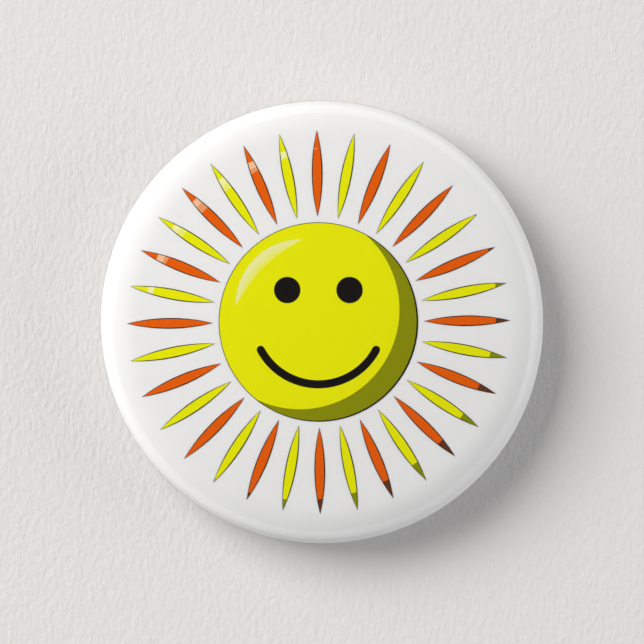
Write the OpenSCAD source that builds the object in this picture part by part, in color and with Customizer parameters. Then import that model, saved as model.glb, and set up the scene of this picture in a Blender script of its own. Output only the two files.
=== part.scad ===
// Round pin-back button badge with a sunburst print.
//
// A domed steel shell is covered by a printed paper disc and a clear film, whose
// edges are curled under the rim together with the shell's. A dished steel back
// plate is snapped inside the rim, and a safety bar pin is riveted to the plate.
//
// Everything is drawn lying on its back: x to the right of the print, y towards
// the top of the print, z towards the front, with z = 0 at the rim's rear edge.
// worn() then stands it up, so that the front faces -Y and the print's top is +Z.

/* [Body] */
// Diameter over the film
badge_d = 57.2; // [56:0.1:64]
// Height of the domed front above the rim's rear edge
body_h = 6.4; // [6.2:0.1:7]
// Radius of the spherical front
dome_r = 220; // [180:5:400]
// Width of the rounder border round the spherical front, with the edge
shoulder_w = 4.7; // [4.5:0.1:5]
// Radius of the rounder border
shoulder_r = 9.5; // [8:0.5:12]
// Rounding between the front and the side
edge_r = 2.4; // [2.2:0.1:2.6]
// Radius of the curled rim
curl_r = 1.0; // [0.9:0.05:1.1]

/* [Sheets] */
// Thickness of the clear film
film_t = 0.08; // [0.05:0.01:0.1]
// Thickness of a printed area
ink_t = 0.03; // [0.02:0.01:0.04]
// Thickness of the paper disc
paper_t = 0.13; // [0.1:0.01:0.16]
// Thickness of the front shell's steel
shell_t = 0.25; // [0.2:0.01:0.3]
// Thickness of the back plate's steel
back_t = 0.3; // [0.25:0.01:0.35]
// Air between neighbouring sheets
ply_gap = 0.02; // [0.01:0.005:0.03]

/* [Print] */
// Radius of the sun's disc
sun_r = 12.8; // [12:0.05:13.2]
// Number of rays, half of them orange and half yellow
ray_count = 32; // [16:4:32]
// Distance from the sun's centre to a ray's inner tip
ray_in = 13.55; // [13.4:0.05:14]
// Length of a ray
ray_len = 11.1; // [9:0.05:11.1]
// Width of a ray at its middle
ray_w = 1.38; // [1:0.02:1.6]
// Angle by which all rays are turned, counter-clockwise
ray_turn = 0.5; // [0:0.1:2]
// Width of the dark line round each ray
line_w = 0.13; // [0.06:0.01:0.16]
// Least width of the dark line round the sun
sun_line_w = 0.09; // [0.06:0.01:0.16]
// How far the print sits left of the badge's centre
print_shift = 0.46; // [0:0.02:0.6]
// Radius of each round eye
eye_r = 1.7; // [1.2:0.05:2]
// Distance of each eye from the sun's vertical middle line
eye_x = 4.0; // [3:0.1:5]
// Height of the eyes above the sun's centre
eye_y = 4.1; // [3:0.1:5]
// Radius of the smile's middle line
smile_r = 8.4; // [6:0.1:9]
// Height of the smile's centre above the sun's centre
smile_y = 0.4; // [-1:0.1:1.5]
// Half of the angle that the smile spans
smile_half = 62; // [40:1:75]
// Width of the smile's line
smile_w = 1.05; // [0.6:0.05:1.4]

/* [Back plate] */
// Depth of the outer ring below the rim's rear edge
ring_z = 1.5; // [1.3:0.05:1.6]
// Outer radius of the raised middle of the plate
pan_r = 22.2; // [21:0.1:23]
// Inside radius of the plate's bends
bend_r = 0.3; // [0.2:0.05:0.35]

/* [Bar pin] */
// Length of the bar
bar_l = 34; // [33:0.5:36]
// Width of the bar
bar_w = 4.8; // [4:0.1:6]
// Thickness of the bar
bar_t = 0.6; // [0.5:0.05:0.7]
// Height of the needle's axis above the bar
axis_h = 1.6; // [1.6:0.05:2]
// Diameter of the needle's shank
needle_d = 0.8; // [0.7:0.05:0.9]
// Distance of the hinge from the badge's axis
hinge_x = 14.4; // [14:0.1:15]
// Distance of the catch's middle from the badge's axis
catch_x = 13.2; // [13:0.1:13.6]
// Diameter of the hinge rivet
rivet_d = 1.2; // [1:0.05:1.3]

/* [Hidden] */
$fn = 96;
dome_fn = 256;
lens_fn = 360;
eps = 0.01;

// Body outline
rim_r = badge_d / 2;
dome_z = body_h - dome_r;
dome_tilt = asin((rim_r - shoulder_w) / dome_r);
shoulder_x = (dome_r - shoulder_r) * sin(dome_tilt);
shoulder_z = dome_z + (dome_r - shoulder_r) * cos(dome_tilt);
edge_x = rim_r - edge_r;
edge_tilt = asin((edge_x - shoulder_x) / (shoulder_r - edge_r));
edge_z = shoulder_z + (shoulder_r - edge_r) * cos(edge_tilt);
curl_x = rim_r - curl_r;
leg_top = 2.2;

// Depth of each sheet's outer face below the film's outer face
ink_in = film_t + ply_gap;
paper_in = ink_in + ink_t + ply_gap;
shell_in = paper_in + paper_t + ply_gap;

// Back plate: outer wall, lip and raised middle
wall_gap = 0.03;
wall_r = rim_r - 2 * curl_r - wall_gap;
lip_lift = 0.35;
lip_z = leg_top + lip_lift;
lip_gap = 0.15;
lip_reach = edge_r - shell_in - shell_t - lip_gap;
lip_r = edge_x + sqrt(pow(lip_reach, 2) - pow(lip_z + back_t - edge_z, 2));
pan_z = ring_z - 2 * bend_r - back_t;

// Sun's print
shade_shift = [-2.4, 1.6];
line_shift = [-0.11, 0.05];
tip_lit_r = 25.0;
tip_shift = [-2.15, 2.15];
gloss_angle = 135;
sun_gloss_at = sun_r * [0.77, 0.9, 0.845];
sun_gloss_half = 34;
ray_gloss_at = [for (part = [0.625, 0.79, 0.79]) ray_in + part * ray_len];
ray_gloss_half = 45;
// How much smaller the smile's round ends are than half its line, so that the outlines cross cleanly
smile_end_in = 0.02;

// Bar pin
axis_z = pan_z - bar_t - axis_h;
bar_rivet_x = 8;
bar_rivet_r = 0.75;
bar_rivet_head_r = 1.4;
bar_rivet_head_h = 0.35;
bar_rivet_tail_r = 1.15;
bar_rivet_tail_h = 0.3;
hole_gap = 0.03;

eye_plate_r = 1.25;
eye_plate_t = 1.0;
eye_gap = 0.1;
heel_r = 1.9;
heel_w = 0.8;
heel_angle = 122;
ear_t = 0.5;
ear_r = 1.5;
ear_gap = 0.01;
hinge_gap = 0.04;
hinge_head_r = 0.95;
hinge_head_h = 0.25;

root_r = 0.49;
root_in = 0.3;
shank_start = -12;
shank_end = 9;
taper_end = 10.6;
taper_r = 0.34;
point_start = 15.8;
point_r = 0.32;
point_end = 18.2;
tip_r = 0.03;

housing_l = 3.0;
housing_foot_w = 2.2;
housing_out_r = 1.55;
housing_in_r = 1.2;
housing_open = 62;
roller_gap = 0.05;
roller_bore_r = 0.5;
roller_slot_w = 1.0;
flange_r = 1.42;
flange_t = 0.4;
tab_angle = 45;
tab_t = 0.5;
tab_r = 2.7;
tab_root = 0.3;

steel = "silver";
tin = [0.80, 0.80, 0.79];
nickel = [0.86, 0.86, 0.84];
orange = [0.86, 0.35, 0.02];
yellow = [0.87, 0.87, 0.0];
olive = [0.50, 0.50, 0.0];
brown = [0.36, 0.17, 0.06];
pale = [0.93, 0.92, 0.72];
dark = [0.08, 0.06, 0.05];

// Stands the badge up, with the origin on the needle's axis.
module worn() {
    rotate([90, 0, 0]) translate([0, 0, -axis_z]) children();
}

// ---- Sheets that wrap the rim ----

// What lies below an arc, from its top above [cx, cz] to x = end, and above the curl's centre.
module under_arc(cx, cz, r, end) {
    intersection() {
        translate([cx, cz]) circle(r, $fn = dome_fn);
        translate([cx, curl_r]) square([end - cx, body_h]);
    }
}

// Half section of what lies inside the face at depth d, above the curl's centre.
module dome_section(d) {
    under_arc(0, dome_z, dome_r - d, (dome_r - d) * sin(dome_tilt));
    under_arc(shoulder_x, shoulder_z, shoulder_r - d, shoulder_x + (shoulder_r - d) * sin(edge_tilt));
    under_arc(edge_x, edge_z, edge_r - d, rim_r - d);
    translate([0, curl_r]) square([rim_r - d, edge_z - curl_r]);
}

// Half section of a sheet between depths d0 and d1, curled under and up inside the rim.
module sheet_section(d0, d1, top) {
    difference() {
        dome_section(d0);
        dome_section(d1);
    }
    difference() {
        translate([curl_x, curl_r]) circle(curl_r - d0);
        translate([curl_x, curl_r]) circle(curl_r - d1);
        translate([curl_x - 2 * curl_r, curl_r]) square([4 * curl_r, 2 * curl_r]);
    }
    translate([curl_x - curl_r + d0, curl_r]) square([d1 - d0, top - curl_r]);
}

module film() {
    color([0.95, 0.97, 1.0, 0.25]) worn() rotate_extrude() sheet_section(0, film_t, leg_top);
}

module print_paper() {
    color("white") worn() rotate_extrude()
        sheet_section(paper_in, paper_in + paper_t, leg_top);
}

module front_shell() {
    color(tin) worn() rotate_extrude()
        sheet_section(shell_in, shell_in + shell_t, leg_top);
}

// ---- Print: each area is a thin layer that follows the front ----

// Stands the 2D children up through the front, where the print lies.
module print_prism() {
    translate([-print_shift, 0, edge_z]) linear_extrude(body_h) children();
}

// The sphere's own axis is turned away from the front, so that no pole lies under the print.
module dome_ball(d) {
    translate([0, 0, dome_z]) rotate([90, 0, 0]) sphere(dome_r - d, $fn = dome_fn);
}

// Prints the 2D children on the spherical middle of the front.
module sun_ink() {
    worn() difference() {
        intersection() {
            print_prism() children();
            dome_ball(ink_in);
        }
        dome_ball(ink_in + ink_t);
    }
}

// Prints the 2D children round the middle of the front, and onto its rounder border.
module ray_ink() {
    worn() intersection() {
        print_prism() children();
        rotate_extrude($fn = dome_fn) intersection() {
            difference() {
                dome_section(ink_in);
                dome_section(ink_in + ink_t);
            }
            translate([sun_r / 2, edge_z]) square([rim_r, body_h]);
        }
    }
}

// A lens shape from two arcs, with its tips at y = y0 and y = y0 + len.
module lens(y0, len, width) {
    arc_r = (pow(len / 2, 2) + pow(width / 2, 2)) / width;
    translate([0, y0 + len / 2]) intersection() {
        translate([arc_r - width / 2, 0]) circle(arc_r, $fn = lens_fn);
        translate([width / 2 - arc_r, 0]) circle(arc_r, $fn = lens_fn);
    }
}

// A circle whose centre is on the x axis, through [apex, 0] and through both tips.
module circle_through(apex, tip) {
    centre = (pow(tip[0], 2) + pow(tip[1], 2) - pow(apex, 2)) / (2 * (tip[0] - apex));
    translate([centre, 0]) circle(abs(apex - centre), $fn = dome_fn);
}

// Places children at ray number i, clockwise from the top.
module at_ray(i) {
    rotate(ray_turn - i * 360 / ray_count) children();
}

// Every second ray, starting with ray number first.
module rays(first) {
    for (i = [first : 2 : ray_count - 1])
        at_ray(i) ray_fill();
}

module ray_fill() {
    lens(ray_in + line_w, ray_len - 2 * line_w, ray_w - 2 * line_w);
}

// The sun inside its outline, which is heavier on the side away from the drawn light.
module sun_fill() {
    intersection() {
        circle(sun_r - sun_line_w);
        translate(line_shift) circle(sun_r - sun_line_w);
    }
}

// The part of the picture that its own drawn light doesn't reach.
module outside_tip_light() {
    difference() {
        circle(2 * ray_in);
        translate(tip_shift) circle(tip_lit_r);
    }
}

// A crescent of drawn gloss. at holds the distances of its inner edge, its outer edge and
// its two tips from the sun's centre. The tips are half degrees to each side of its middle.
module gloss(at, half) {
    tip = at[2] * [cos(half), sin(half)];
    rotate(gloss_angle) difference() {
        circle_through(at[1], tip);
        circle_through(at[0], tip);
    }
}

module sun_gloss() {
    gloss(sun_gloss_at, sun_gloss_half);
}

module ray_gloss() {
    gloss(ray_gloss_at, ray_gloss_half);
}

module ink_sun() {
    color(yellow) sun_ink() difference() {
        intersection() {
            sun_fill();
            translate(shade_shift) circle(sun_r);
        }
        sun_gloss();
        face();
    }
}

module ink_sun_shade() {
    color(olive) sun_ink() difference() {
        sun_fill();
        translate(shade_shift) circle(sun_r);
    }
}

module lit_rays(first) {
    difference() {
        rays(first);
        outside_tip_light();
        ray_gloss();
    }
}

module ink_rays_orange() {
    color(orange) ray_ink() lit_rays(0);
}

module ink_rays_yellow() {
    color(yellow) ray_ink() lit_rays(1);
}

module shaded_tips(first) {
    intersection() {
        rays(first);
        outside_tip_light();
    }
}

module ink_tips_brown() {
    color(brown) ray_ink() shaded_tips(0);
}

module ink_tips_olive() {
    color(olive) ray_ink() shaded_tips(1);
}

module ink_gloss() {
    color(pale) {
        sun_ink() sun_gloss();
        ray_ink() intersection() {
            union() {
                rays(0);
                rays(1);
            }
            ray_gloss();
        }
    }
}

// A plain round-eyed smile.
module face() {
    for (side = [-1, 1])
        translate([side * eye_x, eye_y]) circle(eye_r);
    translate([0, smile_y]) {
        intersection() {
            difference() {
                circle(smile_r + smile_w / 2);
                circle(smile_r - smile_w / 2);
            }
            polygon([
                [0, 0],
                2 * sun_r * [-sin(smile_half), -cos(smile_half)],
                2 * sun_r * [0, -2],
                2 * sun_r * [sin(smile_half), -cos(smile_half)]
            ]);
        }
        for (side = [-1, 1])
            translate(smile_r * [side * sin(smile_half), -cos(smile_half)])
                circle(smile_w / 2 - smile_end_in);
    }
}

module ink_face() {
    color(dark) sun_ink() face();
}

module ink_lines() {
    color(dark) {
        sun_ink() difference() {
            circle(sun_r);
            sun_fill();
        }
        ray_ink() for (i = [0 : ray_count - 1])
            at_ray(i) difference() {
                lens(ray_in, ray_len, ray_w);
                ray_fill();
            }
    }
}

// ---- Back plate ----

// A quarter of a bend in the sheet about centre, on the side that sx and sy give.
module bend(centre, sx, sy) {
    outer = bend_r + back_t;
    translate(centre) intersection() {
        difference() {
            circle(outer);
            circle(bend_r);
        }
        translate([sx < 0 ? -outer : 0, sy < 0 ? -outer : 0]) square(outer);
    }
}

module back_plate_section() {
    ring_bend_x = wall_r - back_t - bend_r;
    step_x = pan_r + bend_r;
    // Lip that snaps over the curled edge
    translate([wall_r + bend_r, lip_z]) square([lip_r - wall_r - bend_r, back_t]);
    bend([wall_r + bend_r, lip_z - bend_r], -1, 1);
    // Wall inside the rim
    translate([wall_r - back_t, ring_z + back_t + bend_r])
        square([back_t, lip_z - ring_z - back_t - 2 * bend_r]);
    bend([ring_bend_x, ring_z + back_t + bend_r], 1, -1);
    // Outer ring
    translate([step_x, ring_z]) square([ring_bend_x - step_x, back_t]);
    // Step to the raised middle
    bend([step_x, ring_z - bend_r], -1, 1);
    bend([pan_r - back_t - bend_r, ring_z - bend_r], 1, -1);
    translate([0, pan_z]) square([pan_r - back_t - bend_r, back_t]);
}

module back_plate() {
    color(tin) worn() difference() {
        rotate_extrude() back_plate_section();
        for (side = [-1, 1])
            translate([side * bar_rivet_x, 0, pan_z - eps])
                cylinder(r = bar_rivet_r + hole_gap, h = back_t + 2 * eps);
    }
}

// ---- Safety bar pin ----

// Places children on the needle's axis at x, with their z along +X.
module on_axis(x) {
    translate([x, 0, axis_z]) rotate([0, 90, 0]) children();
}

// Places children on the hinge's axis, with their z along +Y.
module on_hinge(y) {
    translate([-hinge_x, y, axis_z]) rotate([-90, 0, 0]) children();
}

module ear() {
    difference() {
        union() {
            cylinder(r = ear_r, h = ear_t);
            translate([-ear_r, -axis_h - eps, 0]) cube([2 * ear_r, axis_h + eps, ear_t]);
        }
        translate([0, 0, -eps]) cylinder(r = rivet_d / 2 + ear_gap, h = ear_t + 2 * eps);
    }
}

module pin_bar() {
    ear_y = eye_plate_t / 2 + eye_gap;
    half = bar_l / 2 - bar_w / 2;
    color(nickel) worn() difference() {
        union() {
            translate([0, 0, pan_z - bar_t]) {
                translate([-half, -bar_w / 2, 0]) cube([2 * half, bar_w, bar_t]);
                for (side = [-1, 1])
                    translate([side * half, 0, 0]) cylinder(d = bar_w, h = bar_t);
            }
            for (y = [-ear_y - ear_t, ear_y])
                on_hinge(y) ear();
        }
        for (side = [-1, 1])
            translate([side * bar_rivet_x, 0, pan_z - bar_t - eps])
                cylinder(r = bar_rivet_r + hole_gap, h = bar_t + 2 * eps);
    }
}

module bar_rivets() {
    color(nickel) worn() for (side = [-1, 1])
        translate([side * bar_rivet_x, 0, 0]) rotate_extrude() bar_rivet_section();
}

// Half section of one rivet: low domed head, shank and clinched tail.
module bar_rivet_section() {
    head_ball = (pow(bar_rivet_head_r, 2) + pow(bar_rivet_head_h, 2)) / (2 * bar_rivet_head_h);
    face_z = pan_z - bar_t;
    tail_z = pan_z + back_t;
    intersection() {
        translate([0, face_z - bar_rivet_head_h + head_ball]) circle(head_ball);
        translate([0, face_z - bar_rivet_head_h]) square([bar_rivet_head_r, bar_rivet_head_h]);
    }
    translate([0, face_z]) square([bar_rivet_r, tail_z - face_z]);
    translate([0, tail_z]) square([bar_rivet_tail_r, bar_rivet_tail_h]);
}

module hinge_rivet() {
    half = eye_plate_t / 2 + eye_gap + ear_t;
    color(steel) worn() on_hinge(-half) {
        cylinder(r = rivet_d / 2, h = 2 * half);
        translate([0, 0, -hinge_head_h]) cylinder(r = hinge_head_r, h = hinge_head_h);
        translate([0, 0, 2 * half]) cylinder(r = hinge_head_r, h = hinge_head_h);
    }
}

// Half section of the straight wire, along its own axis: tapered root, shank and slim point.
module needle_section() {
    root_start = -hinge_x + eye_plate_r - root_in;
    polygon([
        [0, root_start],
        [root_r, root_start],
        [needle_d / 2, shank_start],
        [needle_d / 2, shank_end],
        [taper_r, taper_end],
        [point_r, point_start],
        [tip_r, point_end],
        [0, point_end]
    ]);
}

// The wire, its flattened eye and the heel that meets the bar when the needle is fully open.
module needle() {
    color(steel) worn() difference() {
        union() {
            on_axis(0) rotate_extrude() needle_section();
            on_hinge(-eye_plate_t / 2) {
                cylinder(r = eye_plate_r, h = eye_plate_t);
                rotate(heel_angle) translate([0, -heel_w / 2, 0]) cube([heel_r, heel_w, eye_plate_t]);
            }
        }
        on_hinge(-eye_plate_t / 2 - eps)
            cylinder(r = rivet_d / 2 + hinge_gap, h = eye_plate_t + 2 * eps);
    }
}

// A wedge of the given half angle about the direction away from the plate.
module mouth(half_angle, r) {
    polygon([
        [0, 0],
        r * [cos(half_angle), sin(half_angle)],
        r * [2, 0],
        r * [cos(half_angle), -sin(half_angle)]
    ]);
}

module catch_housing() {
    color(nickel) worn() on_axis(catch_x - housing_l / 2) linear_extrude(housing_l)
        difference() {
            union() {
                circle(housing_out_r);
                translate([-axis_h, -housing_foot_w / 2]) square([axis_h, housing_foot_w]);
            }
            circle(housing_in_r);
            mouth(housing_open, 2 * housing_out_r);
        }
}

// Cross-section of the roller, with its slot away from the plate.
module roller_outline(r) {
    difference() {
        circle(r);
        circle(roller_bore_r);
        translate([0, -roller_slot_w / 2]) square([2 * r, roller_slot_w]);
    }
}

module catch_roller() {
    body_r = housing_in_r - roller_gap;
    body_l = housing_l + 2 * roller_gap;
    tab_start = roller_bore_r + tab_root;
    tab_end = tab_r - tab_t / 2;
    color(steel) worn() on_axis(catch_x - body_l / 2) {
        linear_extrude(body_l) roller_outline(body_r);
        for (z = [-flange_t, body_l])
            translate([0, 0, z]) linear_extrude(flange_t) roller_outline(flange_r);
        translate([0, 0, 2 * roller_gap]) linear_extrude(housing_l - 2 * roller_gap)
            rotate(-tab_angle) {
                translate([tab_start, -tab_t / 2]) square([tab_end - tab_start, tab_t]);
                translate([tab_end, 0]) circle(d = tab_t);
            }
    }
}

film();
print_paper();
ink_sun();
ink_sun_shade();
ink_rays_orange();
ink_rays_yellow();
ink_tips_brown();
ink_tips_olive();
ink_gloss();
ink_face();
ink_lines();
front_shell();
back_plate();
pin_bar();
bar_rivets();
catch_housing();
catch_roller();
hinge_rivet();
needle();
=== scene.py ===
import math
import random

import bmesh
import bpy
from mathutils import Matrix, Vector


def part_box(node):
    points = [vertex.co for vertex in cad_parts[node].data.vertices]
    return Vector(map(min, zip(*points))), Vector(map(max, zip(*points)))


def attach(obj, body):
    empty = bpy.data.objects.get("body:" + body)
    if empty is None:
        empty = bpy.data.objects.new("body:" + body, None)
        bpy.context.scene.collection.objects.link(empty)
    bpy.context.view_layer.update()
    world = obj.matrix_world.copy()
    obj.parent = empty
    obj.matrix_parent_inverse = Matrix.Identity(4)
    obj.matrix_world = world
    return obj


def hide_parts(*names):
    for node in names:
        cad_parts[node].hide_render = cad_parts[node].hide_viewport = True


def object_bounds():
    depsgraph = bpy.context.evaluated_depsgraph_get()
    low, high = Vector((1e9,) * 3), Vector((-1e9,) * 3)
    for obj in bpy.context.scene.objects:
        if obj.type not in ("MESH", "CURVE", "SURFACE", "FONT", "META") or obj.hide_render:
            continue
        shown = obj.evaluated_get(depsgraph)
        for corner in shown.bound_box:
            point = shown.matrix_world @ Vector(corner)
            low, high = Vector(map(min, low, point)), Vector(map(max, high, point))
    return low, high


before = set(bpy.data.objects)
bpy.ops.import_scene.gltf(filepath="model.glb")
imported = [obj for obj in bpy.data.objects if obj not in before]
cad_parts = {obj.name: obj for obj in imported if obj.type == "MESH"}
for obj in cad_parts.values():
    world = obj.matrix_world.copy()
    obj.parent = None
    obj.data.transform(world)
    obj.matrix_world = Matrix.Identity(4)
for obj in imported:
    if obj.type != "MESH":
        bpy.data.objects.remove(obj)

MM = 0.001
CAD_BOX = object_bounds()

# ---- Sizes, in metres, in the CAD's frame: -Y is the printed front, +Z the top of the print ----

FILM_LOW, FILM_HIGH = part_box("film")
RIM_R = (FILM_HIGH.x - FILM_LOW.x) / 2
RIM_BACK_Y = FILM_HIGH.y
BODY_H = FILM_HIGH.y - FILM_LOW.y
BACKMOST_Y = CAD_BOX[1].y

# The body's outline, as in the CAD
DOME_R = 220 * MM
SHOULDER_W = 4.7 * MM
SHOULDER_R = 9.5 * MM
EDGE_R = 2.4 * MM
CURL_R = 1.0 * MM
CURL_CENTRE = (RIM_R - CURL_R, CURL_R)
LEG_TOP = 2.2 * MM
FILM_T = 0.08 * MM
PAPER_OUT = 0.15 * MM
PAPER_T = 0.13 * MM
SHEET_CLEAR = 0.005 * MM

# The print. SUN_GLOSS_R is where the gloss drawn on the sun starts to show and where it is full.
PRINT_SHIFT = 0.46 * MM
RAY_COUNT = 32
RAY_IN = 13.55 * MM
RAY_TURN = math.radians(0.5)
SUN_GLOSS_R = (9.8 * MM, 11.0 * MM)
STRONG_GLOSS_R = 21.45 * MM

# How finely the sheets are divided
TURN_STEPS = 512
ARC_STEPS = 14
CURL_STEPS = 2 * ARC_STEPS
DOME_RINGS = 24

# Folds where the sheets are gathered round the rim. Their places and widths are in shares of the
# room that each one has, their slants in widths, and their heights in shares of PLEAT_H.
PLEATS = 84
PLEAT_SEED = 7
PLEAT_PLACES = (-0.34, 0.34)
PLEAT_WIDTHS = (0.25, 0.6)
PLEAT_HEIGHTS = (0.35, 1.0)
PLEAT_SLANTS = (-0.35, 0.35)
PLEAT_H = 0.24 * MM
PLEAT_FADE = 1.2
# The curl is smooth over its first steps
SMOOTH_STEPS = 2


# ---- Mesh helpers ----

def arc(centre, radius, start, end, steps):
    """Points on a circle in the (radius, height) plane, from start to end in degrees."""
    points = []
    for i in range(steps + 1):
        a = math.radians(start + (end - start) * i / steps)
        points.append((centre[0] + radius * math.cos(a), centre[1] + radius * math.sin(a)))
    return points


def new_object(name, mesh, material):
    for polygon in mesh.polygons:
        polygon.use_smooth = True
    mesh.materials.append(material)
    obj = bpy.data.objects.new(name, mesh)
    bpy.context.scene.collection.objects.link(obj)
    return obj


def lathe(name, outline, material, move):
    """Turns a (radius, height) outline about the badge's axis, on which its first and last points lie.

    move(angle, i, radius, height) gives the (radius, height) of outline point i at that angle.
    """
    bm = bmesh.new()
    rings = []
    for i, (radius, height) in enumerate(outline):
        if radius == 0:
            rings.append([bm.verts.new((0, RIM_BACK_Y - height, 0))])
            continue
        ring = []
        for k in range(TURN_STEPS):
            angle = 2 * math.pi * k / TURN_STEPS
            r, h = move(angle, i, radius, height)
            ring.append(bm.verts.new((r * math.cos(angle), RIM_BACK_Y - h, r * math.sin(angle))))
        rings.append(ring)
    for a, b in zip(rings, rings[1:]):
        for k in range(TURN_STEPS):
            n = (k + 1) % TURN_STEPS
            corners = [a[k % len(a)], a[n % len(a)], b[n % len(b)], b[k % len(b)]]
            unique = list(dict.fromkeys(corners))
            if len(unique) > 2:
                bm.faces.new(unique)
    bmesh.ops.recalc_face_normals(bm, faces=bm.faces)
    mesh = bpy.data.meshes.new(name)
    bm.to_mesh(mesh)
    bm.free()
    return new_object(name, mesh, material)


# ---- Node helpers ----

class Nodes:
    """A short way to write the nodes of a material or of the world."""

    def __init__(self, owner, output="ShaderNodeOutputMaterial"):
        owner.use_nodes = True
        self.owner = owner
        self.tree = owner.node_tree
        self.tree.nodes.clear()
        self.out = self.tree.nodes.new(output)

    def add(self, kind, inputs=None, **settings):
        node = self.tree.nodes.new(kind)
        for key, value in settings.items():
            setattr(node, key, value)
        for key, value in (inputs or {}).items():
            if isinstance(value, bpy.types.NodeSocket):
                self.tree.links.new(value, node.inputs[key])
            else:
                node.inputs[key].default_value = value
        return node

    def math(self, operation, a, b=0.0):
        return self.add("ShaderNodeMath", {0: a, 1: b}, operation=operation).outputs[0]

    def coordinates(self, kind="Object"):
        return self.add("ShaderNodeTexCoord").outputs[kind]

    def position(self, scale=(1, 1, 1)):
        """Object coordinates in millimetres, stretched by scale."""
        size = [s / MM for s in scale]
        mapping = self.add("ShaderNodeMapping", {"Vector": self.coordinates(), "Scale": size})
        return mapping.outputs[0]

    def axes(self, vector):
        """The outputs X, Y and Z of a vector."""
        return self.add("ShaderNodeSeparateXYZ", {0: vector}).outputs

    def noise(self, scale, detail=3.0, stretch=(1, 1, 1), roughness=0.5):
        """Noise from 0 to 1. scale is in turns per millimetre."""
        return self.add("ShaderNodeTexNoise", {
            "Vector": self.position(stretch), "Scale": scale,
            "Detail": detail, "Roughness": roughness,
        }).outputs["Fac"]

    def ramp(self, value, low, high, to_low=0.0, to_high=1.0, curve="LINEAR"):
        return self.add("ShaderNodeMapRange", {
            "Value": value, "From Min": low, "From Max": high, "To Min": to_low, "To Max": to_high,
        }, interpolation_type=curve).outputs[0]

    def mix(self, factor, a, b):
        """Colour a where factor is 0 and colour b where it is 1: sockets 6 and 7 are the colours."""
        node = self.add("ShaderNodeMix", {0: factor, 6: a, 7: b}, data_type="RGBA")
        return node.outputs[2]

    def mix_shader(self, factor, a, b):
        """Shader a where factor is 0 and shader b where it is 1."""
        return self.add("ShaderNodeMixShader", {0: factor, 1: a, 2: b}).outputs[0]

    def bump(self, height, distance, strength=1.0, normal=None):
        inputs = {"Height": height, "Distance": distance, "Strength": strength}
        if normal is not None:
            inputs["Normal"] = normal
        return self.add("ShaderNodeBump", inputs).outputs[0]

    def surface(self, shader):
        self.tree.links.new(shader, self.out.inputs["Surface"])
        return self.owner


def material_nodes(name):
    return Nodes(bpy.data.materials.new(name))


def srgb(red, green, blue):
    """A colour given as 0 to 255 display values."""
    linear = []
    for value in (red, green, blue):
        c = value / 255
        linear.append(c / 12.92 if value <= 10 else ((c + 0.055) / 1.055) ** 2.4)
    return (*linear, 1.0)


def shade(colour, factor):
    return (*[c * factor for c in colour[:3]], 1.0)


# ---- Materials ----

PAPER_WHITE = srgb(238, 238, 238)
YELLOW = srgb(233, 233, 0)
# The share of light that the film mirrors when it is looked at squarely, and along its surface
FILM_MIRROR = (0.012, 0.6)

# How deep the finest relief is
FILM_WAVES = 0.03 * MM
PAPER_FIBRES = 0.004 * MM
INK_GRAIN = 0.002 * MM
METAL_SCRATCHES = 0.004 * MM

# Each ink's name and colour, and the nodes printed with it
INKS = (
    ("ink_yellow", YELLOW, ("ink_sun", "ink_rays_yellow")),
    ("ink_orange", srgb(230, 94, 2), ("ink_rays_orange",)),
    ("ink_olive", srgb(138, 141, 1), ("ink_sun_shade", "ink_tips_olive")),
    ("ink_brown", srgb(98, 53, 30), ("ink_tips_brown",)),
    ("ink_black", srgb(14, 9, 8), ("ink_face", "ink_lines")),
)

# Each metal's values for metal(), and its nodes with the width to which their edges are broken
METALS = (
    (("tinplate", (0.52, 0.525, 0.53, 1.0), (0.3, 0.4), 0.006 * MM, 0.12),
     {"front_shell": 0.0, "back_plate": 0.0}),
    (("nickel_plate", (0.9, 0.87, 0.81, 1.0), (0.14, 0.24), 0.003 * MM, 0.5),
     {"pin_bar": 0.07 * MM, "bar_rivets": 0.04 * MM,
      "catch_housing": 0.04 * MM, "catch_roller": 0.04 * MM}),
    (("steel_wire", (0.7, 0.7, 0.71, 1.0), (0.1, 0.18), 0.002 * MM, 0.8),
     {"hinge_rivet": 0.05 * MM, "needle": 0.03 * MM}),
)


def film_material():
    """Clear polyester. It mirrors more the flatter it is looked at, by Schlick's fifth power."""
    n = material_nodes("clear_film")
    normal = n.bump(n.noise(0.12, 2.0), FILM_WAVES, 0.6)
    scuffs = n.ramp(n.noise(2.2, 6.0, (1, 1, 0.25)), 0.5, 0.8, 0.1, 0.2)
    weight = n.add("ShaderNodeLayerWeight", {"Blend": 0.5, "Normal": normal})
    facing = n.math("POWER", weight.outputs["Facing"], 5.0)
    clear = n.add("ShaderNodeBsdfTransparent").outputs[0]
    gloss = n.add("ShaderNodeBsdfGlossy", {"Roughness": scuffs, "Normal": normal}).outputs[0]
    return n.surface(n.mix_shader(n.ramp(facing, 0.0, 1.0, *FILM_MIRROR), clear, gloss))


def printed_paper_material():
    n = material_nodes("white_paper")
    mottle = n.ramp(n.noise(0.35, 4.0), 0.3, 0.7)
    fibres = n.noise(5.0, 4.0, (1, 1, 0.35))
    return n.surface(n.add("ShaderNodeBsdfPrincipled", {
        "Base Color": n.mix(mottle, PAPER_WHITE, shade(PAPER_WHITE, 0.985)),
        "Roughness": n.ramp(fibres, 0.3, 0.7, 0.5, 0.62),
        "Specular IOR Level": 0.15, "Normal": n.bump(fibres, PAPER_FIBRES, 0.5),
    }).outputs[0])


def ink_shader(n, colour):
    grain = n.noise(7.0, 3.0)
    return n.surface(n.add("ShaderNodeBsdfPrincipled", {
        "Base Color": colour, "Roughness": n.ramp(grain, 0.3, 0.7, 0.42, 0.55),
        "Specular IOR Level": 0.1, "Normal": n.bump(grain, INK_GRAIN, 0.4),
    }).outputs[0])


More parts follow.
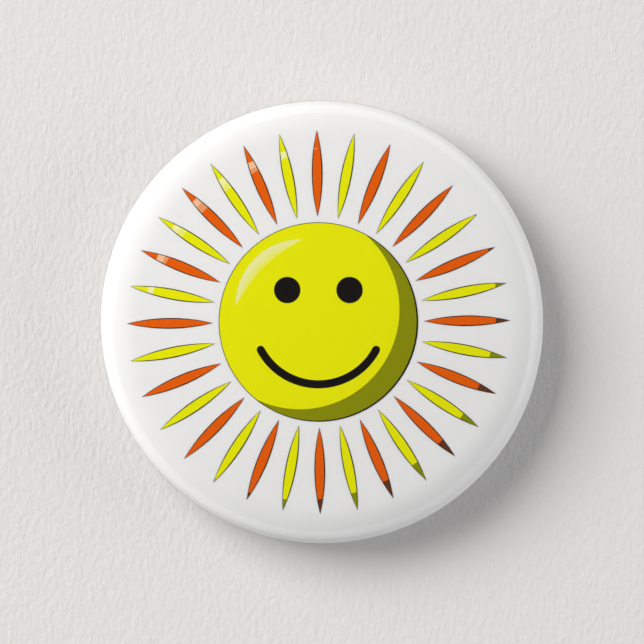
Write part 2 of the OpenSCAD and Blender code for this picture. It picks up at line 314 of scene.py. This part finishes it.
def ink_material(name, colour):
    """A printed colour with the faint unevenness of a solid ink area."""
    n = material_nodes(name)
    patches = n.ramp(n.noise(0.5, 4.0), 0.3, 0.7)
    grains = n.ramp(n.noise(9.0, 2.0), 0.35, 0.65)
    base = n.mix(patches, shade(colour, 0.985), colour)
    return ink_shader(n, n.mix(n.math("MULTIPLY", grains, 0.5), base, shade(colour, 0.965)))


def ray_parity(n, across, up):
    """0 on an orange ray and 1 on a yellow one. The rays are counted clockwise from the top."""
    angle = n.math("ADD", n.math("ARCTAN2", across, up), RAY_TURN)
    number = n.math("ROUND", n.math("MULTIPLY", angle, RAY_COUNT / (2 * math.pi)))
    return n.math("PINGPONG", number, 1.0)


def gloss_ink_material():
    """Drawn gloss: it fades in from yellow on the sun, and has a weak and a strong stripe on a ray."""
    n = material_nodes("ink_gloss")
    place = n.axes(n.position())
    across = n.math("ADD", place["X"], PRINT_SHIFT / MM)
    up = place["Z"]
    squares = n.math("ADD", n.math("POWER", across, 2.0), n.math("POWER", up, 2.0))
    radius = n.math("SQRT", squares)
    strong = n.math("GREATER_THAN", radius, STRONG_GLOSS_R / MM)
    sun_low, sun_high = SUN_GLOSS_R
    on_sun = n.mix(n.ramp(radius, sun_low / MM, sun_high / MM), YELLOW, srgb(235, 235, 160))
    on_orange = n.mix(strong, srgb(232, 155, 105), srgb(245, 190, 150))
    on_yellow = n.mix(strong, srgb(236, 236, 115), srgb(241, 240, 165))
    on_ray = n.mix(ray_parity(n, across, up), on_orange, on_yellow)
    return ink_shader(n, n.mix(n.math("GREATER_THAN", radius, RAY_IN / MM), on_sun, on_ray))


def metal(name, colour, rough, grain_depth, smudge_scale):
    """Metal with rolling lines along X, smudges that dull it, fine scratches and small dark specks.

    rough is its roughness where it is brightest and where it is dullest.
    """
    n = material_nodes(name)
    lines = n.noise(2.2, 5.0, (0.04, 1, 1), 0.6)
    grain = n.noise(7.0, 3.0, (0.5, 1, 1))
    smudges = n.ramp(n.noise(smudge_scale, 5.0, roughness=0.6), 0.42, 0.72)
    scratches = n.ramp(n.noise(1.1, 2.0, (0.1, 1, 2.4), 0.4), 0.68, 0.7)
    specks = n.ramp(n.noise(2.6, 2.0), 0.74, 0.78)
    dull = n.math("ADD", n.math("MULTIPLY", lines, 0.8), n.math("MULTIPLY", smudges, 0.2))
    tone = n.mix(n.ramp(lines, 0.3, 0.7), colour, shade(colour, 0.86))
    tone = n.mix(n.math("MULTIPLY", specks, 0.5), tone, shade(colour, 0.5))
    normal = n.bump(lines, grain_depth, 0.6)
    normal = n.bump(grain, grain_depth / 2, 0.5, normal)
    normal = n.bump(scratches, -METAL_SCRATCHES, 0.6, normal)
    return n.surface(n.add("ShaderNodeBsdfPrincipled", {
        "Base Color": tone, "Metallic": 1.0,
        "Roughness": n.ramp(dull, 0.3, 0.75, *rough), "Normal": normal,
    }).outputs[0])


# ---- The sheets that wrap the rim ----

def sheet_surface(depth, rim_depth):
    """(radius, height) points of one surface of a sheet, from the middle of the front to its edge.

    It lies depth below the outside on the front, which eases to rim_depth over the rim's edge.
    """
    dome_low = BODY_H - DOME_R
    dome_lean = math.asin((RIM_R - SHOULDER_W) / DOME_R)
    dome_top = 90 - math.degrees(dome_lean)
    reach = DOME_R - SHOULDER_R
    shoulder = (reach * math.sin(dome_lean), dome_low + reach * math.cos(dome_lean))
    edge_x = RIM_R - EDGE_R
    edge_lean = math.asin((edge_x - shoulder[0]) / (SHOULDER_R - EDGE_R))
    edge = (edge_x, shoulder[1] + (SHOULDER_R - EDGE_R) * math.cos(edge_lean))
    shoulder_top = 90 - math.degrees(edge_lean)
    points = arc((0, dome_low), DOME_R - depth, 90, dome_top, DOME_RINGS)[:-1]
    points[0] = (0, points[0][1])
    points += arc(shoulder, SHOULDER_R - depth, dome_top, shoulder_top, ARC_STEPS)[:-1]
    for k in range(ARC_STEPS + 1):
        radius = EDGE_R - depth - (rim_depth - depth) * k / ARC_STEPS
        points += arc(edge, radius, shoulder_top * (1 - k / ARC_STEPS), 0, 1)[:1]
    points += arc(CURL_CENTRE, CURL_R - rim_depth, 0, -180, CURL_STEPS)
    points.append((RIM_R - 2 * CURL_R + rim_depth, LEG_TOP))
    return points


def pleats():
    """Folds of the gathered sheet as (place, width, height, slant), each a little different."""
    rng = random.Random(PLEAT_SEED)
    folds = []
    for k in range(PLEATS):
        place = 2 * math.pi * (k + rng.uniform(*PLEAT_PLACES)) / PLEATS
        width = rng.uniform(*PLEAT_WIDTHS) * 2 * math.pi / PLEATS
        height = rng.uniform(*PLEAT_HEIGHTS)
        slant = rng.uniform(*PLEAT_SLANTS)
        folds.append((place, width, height, slant))
    return folds


def fold_height(folds, angle, turn):
    """Height from 0 to 1 of the folds at this angle. turn, from 0 to 1, is how far round the rim."""
    total = 0.0
    for place, width, height, slant in folds:
        apart = (angle - place - slant * width * turn + math.pi) % (2 * math.pi) - math.pi
        if abs(apart) < width:
            total = max(total, height * math.cos(apart / width * math.pi / 2))
    return total


def sheet(name, depth, rim_depth, thickness, material):
    """A sheet over the front, round the rim and tucked in, with pleats on the back of the rim."""
    outer = sheet_surface(depth, rim_depth)
    inner = sheet_surface(depth + thickness, rim_depth + thickness)
    last = len(outer) - 1
    curl_start = last - 1 - CURL_STEPS
    smooth_end = curl_start + SMOOTH_STEPS
    folds = pleats()

    def pleated(angle, i, radius, height):
        j = i if i <= last else 2 * last + 1 - i
        if j <= curl_start:
            return radius, height
        turn = max(0.0, min(1.0, (j - smooth_end) / (CURL_STEPS - SMOOTH_STEPS)))
        fade = math.sin(math.pi * turn) ** PLEAT_FADE
        lift = PLEAT_H * fold_height(folds, angle, turn) * fade
        along = Vector((radius - CURL_CENTRE[0], min(0.0, height - CURL_CENTRE[1])))
        if along.length > 0:
            along.normalize()
        return radius + along.x * lift, height + along.y * lift

    return lathe(name, outer + inner[::-1], material, pleated)


def make_film():
    film = sheet("film_sheet", 0.0, 0.0, FILM_T, film_material())
    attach(film, "badge")
    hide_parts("film")


def make_paper():
    depth, rim_depth = PAPER_OUT + SHEET_CLEAR, FILM_T + SHEET_CLEAR
    thickness = PAPER_T - SHEET_CLEAR
    paper = sheet("paper_sheet", depth, rim_depth, thickness, printed_paper_material())
    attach(paper, "badge")
    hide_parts("print_paper")


# ---- CAD nodes that stay, with their own finish ----

def soften(node, width):
    """Breaks the sharp edges of a CAD node so that they catch light."""
    bevel = node.modifiers.new("edge", "BEVEL")
    bevel.width = width
    bevel.segments = 2
    bevel.limit_method = "ANGLE"
    bevel.angle_limit = math.radians(35)
    bevel.use_clamp_overlap = True
    bevel.harden_normals = True


def finish_node(name, material, edge=0.0):
    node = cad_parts[name]
    node.data.materials.clear()
    node.data.materials.append(material)
    if edge:
        soften(node, edge)


def finish_inks():
    for name, colour, nodes in INKS:
        material = ink_material(name, colour)
        for node in nodes:
            finish_node(node, material)
    finish_node("ink_gloss", gloss_ink_material())


def finish_metal():
    for values, nodes in METALS:
        material = metal(*values)
        for node, edge in nodes.items():
            finish_node(node, material, edge)


# ---- Surroundings ----

# The sheet of paper behind the badge
WALL_GAP = 0.15 * MM
WALL_R = 0.8
WALL_HOLE_R = 24 * MM
WALL_COLOUR = srgb(229, 227, 226)
WALL_FIBRES = 0.14 * MM
WALL_RELIEF = 0.08 * MM

# The sky's strength is the product of these: an axis, a stretch of it, and the level at each end.
# It is dark where the camera looks in, bright to the sides, and dimmer straight behind the badge.
SKY_LEVELS = (
    ("Y", -0.85, -0.3, 0.17, 0.48),
    ("Y", -0.3, 0.2, 1.0, 1.7),
    ("Y", 0.55, 0.85, 1.0, 0.5),
)
SKY_COLOUR = (0.98, 0.985, 1.0, 1.0)

# The hoop is HOOP_LEVELS[1] strong at HOOP_BRIGHTEST degrees clockwise from the top, and falls to
# HOOP_LEVELS[0] where the cosine of the angle from there is HOOP_DIM_COSINE. HOOP_BEHIND gives a
# stretch of Y and the share of the light at each end of it. HOOP_SPREAD is the share of the light
# that gloss throws on to a matt surface.
HOOP_R = 1.0
HOOP_FRONT = -0.75
HOOP_BACK = 1.0
HOOP_BRIGHTEST = 300.0
HOOP_LEVELS = (2.6, 3.2)
HOOP_DIM_COSINE = -0.3
HOOP_BEHIND = (0.0, 0.4, 1.0, 0.4)
HOOP_SPREAD = 0.5

# How many faces the wall and the hoop have
RING_STEPS = 96

# The camera: how much it sees across the back of the rim, and its lens and sensor in millimetres
VIEW_W = 83.2 * MM
LENS = 400.0
SENSOR = 36.0
CLIP_START = 0.01


def wall_material():
    """Pale rough paper with upright fibres. It is only seen from its front."""
    n = material_nodes("wall_paper")
    fibres = n.noise(1.75, 3.0, (1, 1, 0.65), 0.5)
    relief = n.noise(0.8, 2.0, (1, 1, 0.6))
    colour = n.mix(n.ramp(fibres, 0.3, 0.7), shade(WALL_COLOUR, 0.985), WALL_COLOUR)
    normal = n.bump(fibres, WALL_FIBRES, 0.9, n.bump(relief, WALL_RELIEF, 0.6))
    front = n.add("ShaderNodeBsdfDiffuse", {"Color": colour, "Normal": normal}).outputs[0]
    back = n.add("ShaderNodeBsdfTransparent").outputs[0]
    side = n.add("ShaderNodeNewGeometry").outputs["Backfacing"]
    return n.surface(n.mix_shader(side, front, back))


def ring_mesh(name, first, second):
    """A band about the badge's axis between two circles, each given as (radius, y)."""
    verts = []
    faces = []
    for i in range(RING_STEPS):
        a = 2 * math.pi * i / RING_STEPS
        for radius, y in (first, second):
            verts.append((radius * math.sin(a), y, radius * math.cos(a)))
        here = 2 * i
        there = (here + 2) % (2 * RING_STEPS)
        faces.append((here, there, there + 1, here + 1))
    mesh = bpy.data.meshes.new(name)
    mesh.from_pydata(verts, [], faces)
    return mesh


def make_wall():
    """The sheet of paper that the badge lies against, facing -Y. The badge hides its hole."""
    y = BACKMOST_Y + WALL_GAP
    mesh = ring_mesh("wall", (WALL_HOLE_R, y), (WALL_R, y))
    wall = new_object("wall", mesh, wall_material())
    wall.visible_shadow = False


def make_hoop():
    """A glowing hoop round the badge. It shows only in gloss, where it gives the rim its pale ring."""
    n = material_nodes("hoop_light")
    place = n.axes(n.coordinates())
    a = math.radians(HOOP_BRIGHTEST)
    across = n.math("MULTIPLY", place["X"], math.sin(a) / HOOP_R)
    along = n.math("MULTIPLY", place["Z"], math.cos(a) / HOOP_R)
    level = n.ramp(n.math("ADD", across, along), HOOP_DIM_COSINE, 1.0, *HOOP_LEVELS)
    behind = n.ramp(place["Y"], *HOOP_BEHIND)
    depth = n.add("ShaderNodeLightPath").outputs["Diffuse Depth"]
    spread = n.ramp(depth, 0.0, 1.0, 1.0, HOOP_SPREAD)
    strength = n.math("MULTIPLY", n.math("MULTIPLY", level, behind), spread)
    glow = n.surface(n.add("ShaderNodeEmission", {"Strength": strength}).outputs[0])
    glow.cycles.emission_sampling = "NONE"
    hoop = new_object("hoop", ring_mesh("hoop", (HOOP_R, HOOP_FRONT), (HOOP_R, HOOP_BACK)), glow)
    hoop.visible_camera = False
    hoop.visible_shadow = False
    hoop.visible_diffuse = False


def area_light(name, place, size, power, colour=(1.0, 1.0, 1.0), in_gloss=False):
    """A square lamp that shines at the badge."""
    data = bpy.data.lights.new(name, "AREA")
    data.shape = "SQUARE"
    data.size = size
    data.energy = power
    data.color = colour
    lamp = bpy.data.objects.new(name, data)
    lamp.location = place
    lamp.rotation_mode = "QUATERNION"
    lamp.rotation_quaternion = (-Vector(place)).to_track_quat("-Z", "Y")
    lamp.visible_glossy = in_gloss
    bpy.context.scene.collection.objects.link(lamp)


def towards(clockwise, lift, distance):
    """A place seen from the badge: degrees clockwise from the top, and degrees out of its front."""
    a, e = math.radians(clockwise), math.radians(lift)
    return (
        distance * math.cos(e) * math.sin(a),
        -distance * math.sin(e),
        distance * math.cos(e) * math.cos(a),
    )


def make_sky():
    """A white tent of uneven brightness round the badge."""
    world = bpy.data.worlds.new("studio")
    n = Nodes(world, "ShaderNodeOutputWorld")
    place = n.axes(n.coordinates("Generated"))
    strength = 1.0
    for axis, *levels in SKY_LEVELS:
        level = n.ramp(place[axis], *levels, curve="SMOOTHSTEP")
        strength = n.math("MULTIPLY", level, strength)
    sky = n.add("ShaderNodeBackground", {"Color": SKY_COLOUR, "Strength": strength})
    bpy.context.scene.world = n.surface(sky.outputs[0])


def make_light():
    make_sky()
    make_hoop()
    area_light("key", towards(305, 42, 1.6), 1.1, 24.0, (1.0, 0.985, 0.96))
    area_light("side_left", towards(280, 18, 1.0), 0.55, 2.0)
    area_light("side_right", towards(92, 18, 1.0), 0.7, 3.0, in_gloss=True)
    area_light("back_key", towards(300, -50, 1.2), 0.6, 3.0, in_gloss=True)


def make_camera():
    data = bpy.data.cameras.new("camera")
    data.lens = LENS
    data.sensor_width = SENSOR
    data.clip_start = CLIP_START
    camera = bpy.data.objects.new("camera", data)
    camera.location = (0.0, RIM_BACK_Y - VIEW_W * LENS / SENSOR, 0.0)
    camera.rotation_euler = (math.radians(90), 0, 0)
    bpy.context.scene.collection.objects.link(camera)
    bpy.context.scene.camera = camera


make_film()
make_paper()
finish_inks()
finish_metal()
make_wall()
make_light()
make_camera()
bpy.context.scene.view_settings.view_transform = "Standard"
